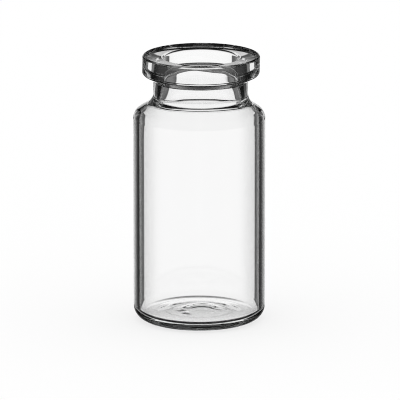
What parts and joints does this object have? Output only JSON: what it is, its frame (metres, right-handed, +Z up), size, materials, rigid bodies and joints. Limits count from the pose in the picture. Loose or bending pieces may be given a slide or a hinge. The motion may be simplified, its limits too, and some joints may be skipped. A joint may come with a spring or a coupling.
{
  "type": "crimp-neck glass vial",
  "caption": "Clear tubular glass lab vial with a straight body, sloped shoulder, short neck and an open crimp flange.",
  "frame": {"origin": "centre of the standing ring under the base", "axes": "+Z up along the axis, from the base to the mouth; round about Z, so X and Y are free"},
  "size_m": [0.0226, 0.0226, 0.046],
  "materials": {
    "clear_glass": "polished"
  },
  "bodies": {
    "root": {"vial": "clear_glass"}
  },
  "joints": []
}
